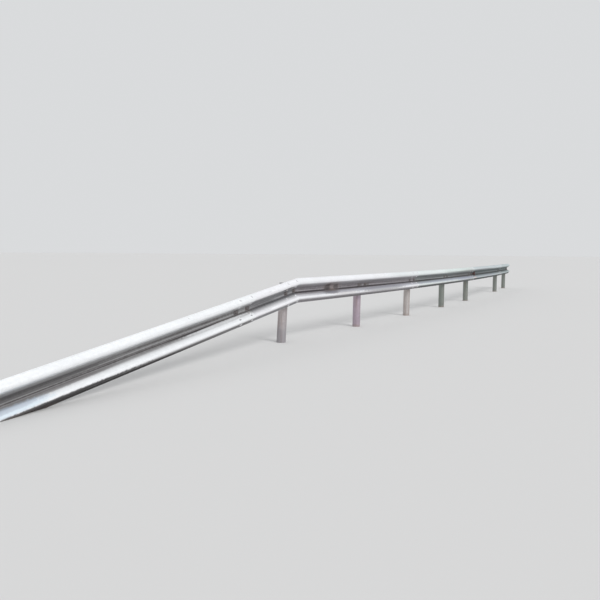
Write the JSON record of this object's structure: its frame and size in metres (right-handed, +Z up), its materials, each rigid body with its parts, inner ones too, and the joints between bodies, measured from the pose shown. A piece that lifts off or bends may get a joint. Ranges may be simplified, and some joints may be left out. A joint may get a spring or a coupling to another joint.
{
  "type": "highway guardrail section",
  "caption": "Curved two-wave steel road barrier on round posts, with lapped rail panels, brackets, post caps, a small reflector and one end sloping down into the ground.",
  "frame": {"origin": "centre of the foot of the last post, at ground level, where the next bay joins", "axes": "+X along the rail at that post, away from the sloping end; -Y towards the road; +Z up"},
  "size_m": [20.1451, 1.4993, 0.795],
  "materials": {
    "rail": "galvanised, semi-gloss, dusty",
    "post": "galvanised, dull",
    "cap": "galvanised, dull",
    "bracket": "galvanised, dull",
    "reflector_plate": "weathered",
    "reflector_lens": "ribbed, faded"
  },
  "bodies": {
    "root": {"post_1": "post", "cap_1": "cap", "bracket_1": "bracket", "post_2": "post", "cap_2": "cap", "bracket_2": "bracket", "post_3": "post", "cap_3": "cap", "bracket_3": "bracket", "post_4": "post", "cap_4": "cap", "bracket_4": "bracket", "post_5": "post", "cap_5": "cap", "bracket_5": "bracket", "post_7": "post", "cap_7": "cap", "bracket_7": "bracket", "post_8": "post", "cap_8": "cap", "bracket_8": "bracket", "end_panel_2": "rail", "end_panel_1": "rail", "rail_panel_1": "rail", "rail_panel_2": "rail", "rail_panel_3": "rail", "rail_panel_4": "rail", "reflector_plate": "reflector_plate", "reflector_lens": "reflector_lens"}
  },
  "joints": []
}
